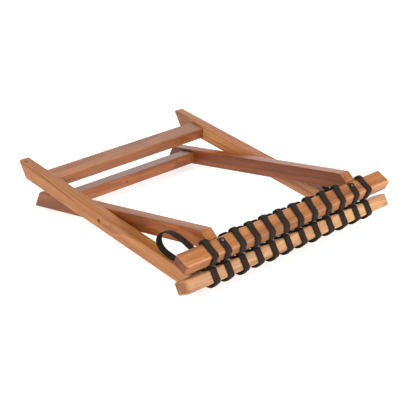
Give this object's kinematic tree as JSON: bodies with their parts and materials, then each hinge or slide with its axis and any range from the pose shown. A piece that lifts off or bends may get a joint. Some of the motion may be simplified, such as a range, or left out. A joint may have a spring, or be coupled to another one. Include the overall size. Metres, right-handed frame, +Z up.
{
  "type": "folding luggage rack",
  "caption": "Folding wooden luggage rack: two pivoting leg frames, each with a rail, joined by dark webbing straps laid over both rails; shown folded flat.",
  "frame": {"origin": "centre of the folded rack's footprint, on the floor it lies on", "axes": "+X along the rails to the right, +Y from the rails to the feet, +Z up"},
  "size_m": [0.55, 0.5916, 0.1143],
  "materials": {
    "frame_wood": "oiled teak, satin",
    "rail_wood": "oiled teak, satin",
    "dowel": "plain beech",
    "webbing": "ribbed elastic webbing, matt",
    "steel": "zinc-plated",
    "black_metal": "black oxide"
  },
  "bodies": {
    "outer_frame": {"outer_leg_left": "frame_wood", "outer_leg_right": "frame_wood", "outer_rail": "rail_wood", "outer_stretcher": "frame_wood", "outer_rail_dowels": "dowel", "outer_stretcher_dowels": "dowel", "spacer_washer_left": "steel", "spacer_washer_right": "steel", "outer_strap_screws": "steel", "outer_strap_washers": "black_metal", "strap_01_outer_wrap": "webbing", "strap_02_outer_wrap": "webbing", "strap_03_outer_wrap": "webbing", "strap_04_outer_wrap": "webbing", "strap_05_outer_wrap": "webbing", "strap_06_outer_wrap": "webbing", "strap_07_outer_wrap": "webbing", "strap_08_outer_wrap": "webbing", "strap_09_outer_wrap": "webbing", "strap_10_outer_wrap": "webbing", "strap_11_outer_wrap": "webbing", "strap_12_outer_wrap": "webbing", "strap_01_span": "webbing", "strap_02_span": "webbing", "strap_03_span": "webbing", "strap_04_span": "webbing", "strap_05_span": "webbing", "strap_06_span": "webbing", "strap_07_span": "webbing", "strap_08_span": "webbing", "strap_09_span": "webbing", "strap_10_span": "webbing", "strap_11_span": "webbing", "strap_12_span": "webbing"},
    "inner_frame": {"inner_leg_left": "frame_wood", "inner_leg_right": "frame_wood", "inner_rail": "rail_wood", "inner_stretcher": "frame_wood", "inner_rail_dowels": "dowel", "inner_stretcher_dowels": "dowel", "pivot_bolt_left": "steel", "pivot_bolt_right": "steel", "pivot_insert_left": "steel", "pivot_insert_right": "steel", "inner_strap_screws": "steel", "inner_strap_washers": "black_metal", "strap_01_inner_wrap": "webbing", "strap_02_inner_wrap": "webbing", "strap_03_inner_wrap": "webbing", "strap_04_inner_wrap": "webbing", "strap_05_inner_wrap": "webbing", "strap_06_inner_wrap": "webbing", "strap_07_inner_wrap": "webbing", "strap_08_inner_wrap": "webbing", "strap_09_inner_wrap": "webbing", "strap_10_inner_wrap": "webbing", "strap_11_inner_wrap": "webbing", "strap_12_inner_wrap": "webbing"}
  },
  "joints": [
    {"name": "fold", "type": "hinge", "parent": "outer_frame", "child": "inner_frame", "pos_m": [0, 0.02524, 0.05714], "axis": [-1, 0, 0], "range_deg": [0, 59.2], "deforming": ["strap_01_span", "strap_02_span", "strap_03_span", "strap_04_span", "strap_05_span", "strap_06_span", "strap_07_span", "strap_08_span", "strap_09_span", "strap_10_span", "strap_11_span", "strap_12_span"]}
  ]
}
